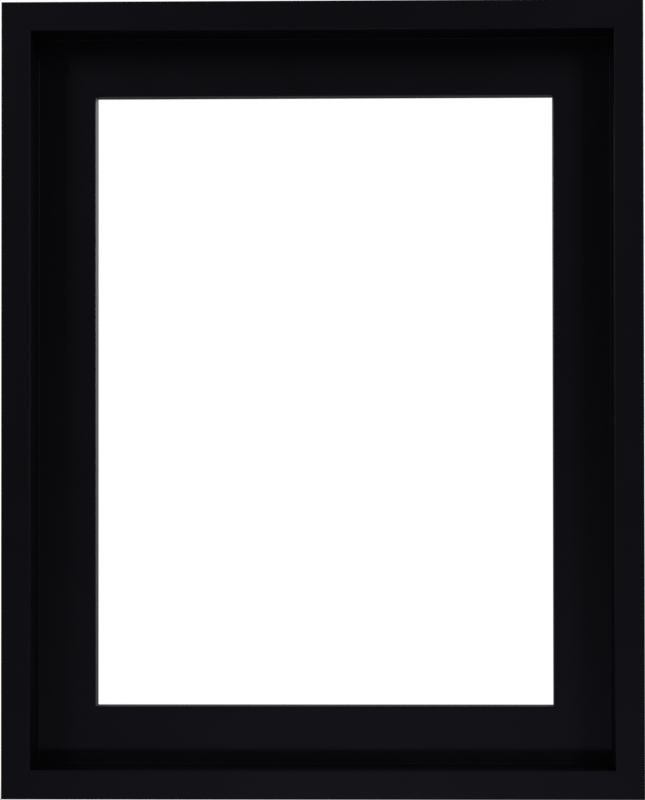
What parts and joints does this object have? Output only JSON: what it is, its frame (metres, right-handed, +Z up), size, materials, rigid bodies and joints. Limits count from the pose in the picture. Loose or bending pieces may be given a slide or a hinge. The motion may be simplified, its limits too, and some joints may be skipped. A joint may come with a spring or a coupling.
{
  "type": "floating frame",
  "caption": "Deep black floating frame for a stretched canvas: a narrow lip round a recess with a wide ledge, open in the middle, with D-ring hangers on the back.",
  "frame": {"origin": "on the underside, under the middle of the overall width and depth, with the frame standing as it hangs", "axes": "+Z up, +X to the right as seen from the front, +Y towards the wall, so the face looks along -Y"},
  "size_m": [0.3148, 0.0358, 0.391],
  "materials": {
    "black_lacquer": "satin black lacquer on wood",
    "nail_steel": "bare spring steel",
    "zinc_plate": "bright zinc plate",
    "nickel_plate": "nickel plate",
    "clear_rubber": "frosted clear rubber"
  },
  "bodies": {
    "frame": {"bottom_rail": "black_lacquer", "top_rail": "black_lacquer", "left_rail": "black_lacquer", "right_rail": "black_lacquer", "lip_nail_bottom_left": "nail_steel", "lip_nail_bottom_right": "nail_steel", "lip_nail_top_left": "nail_steel", "lip_nail_top_right": "nail_steel", "ledge_nail_bottom_left": "nail_steel", "ledge_nail_bottom_right": "nail_steel", "ledge_nail_top_left": "nail_steel", "ledge_nail_top_right": "nail_steel", "hanger_strap_left": "zinc_plate", "hanger_strap_right": "zinc_plate", "hanger_screw_left": "zinc_plate", "hanger_screw_right": "zinc_plate", "wall_bumper_left": "clear_rubber", "wall_bumper_right": "clear_rubber"},
    "ring_left": {"hanger_ring_left": "nickel_plate"},
    "ring_right": {"hanger_ring_right": "nickel_plate"}
  },
  "joints": [
    {"name": "ring_left_swing", "type": "hinge", "parent": "frame", "child": "ring_left", "pos_m": [-0.1359, 0.01585, 0.291], "axis": [0, 0, 1], "range_deg": [-3, 162]},
    {"name": "ring_right_swing", "type": "hinge", "parent": "frame", "child": "ring_right", "pos_m": [0.1359, 0.01585, 0.291], "axis": [0, 0, -1], "range_deg": [-3, 162]}
  ]
}
